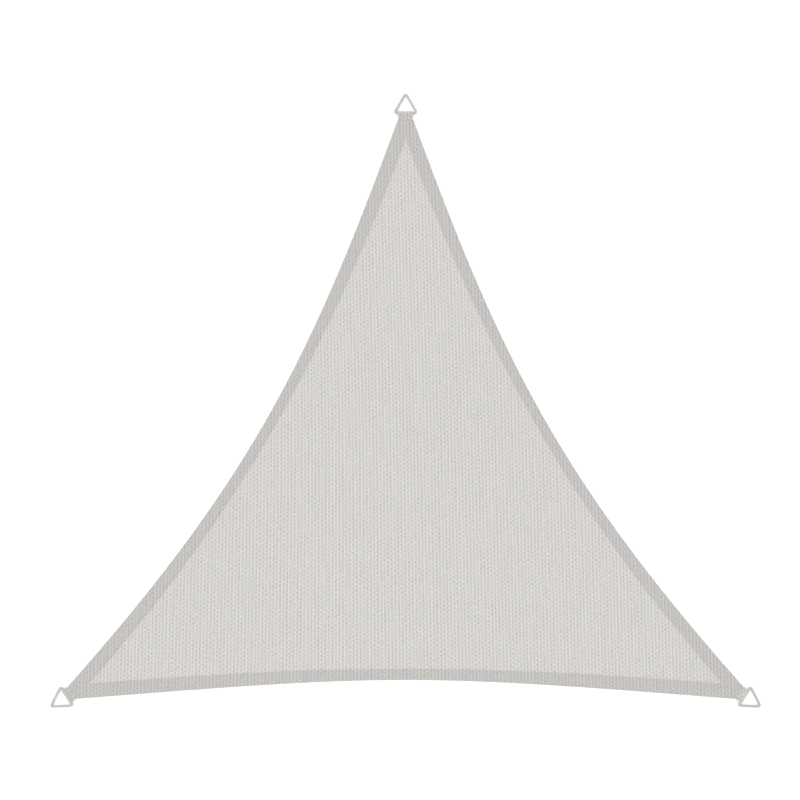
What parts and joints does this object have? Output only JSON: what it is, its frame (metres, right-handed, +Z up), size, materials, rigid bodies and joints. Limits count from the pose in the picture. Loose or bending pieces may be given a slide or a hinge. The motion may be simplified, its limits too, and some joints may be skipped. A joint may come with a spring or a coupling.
{
  "type": "shade sail",
  "caption": "Triangular shade sail of knitted cloth with hollow-cut hemmed edges; a cloth loop at each corner holds a triangular steel ring to hang it by. It lies flat.",
  "frame": {"origin": "on the surface that the sail lies on, under the middle of its bounding box", "axes": "+Z up, away from the surface; +Y from the bottom edge to the top corner; +X towards the right corner"},
  "size_m": [2.0048, 1.7326, 0.009],
  "materials": {
    "knitted_cloth": "matt warp-knitted shade net, light warm grey, darker along its hem",
    "loop_cloth": "doubled strip of the same knitted cloth, matt light grey",
    "ring_steel": "satin stainless steel wire"
  },
  "bodies": {
    "root": {"sail": "knitted_cloth", "corner_loop_top": "loop_cloth", "corner_loop_left": "loop_cloth", "corner_loop_right": "loop_cloth", "ring_top": "ring_steel", "ring_left": "ring_steel", "ring_right": "ring_steel"}
  },
  "joints": []
}
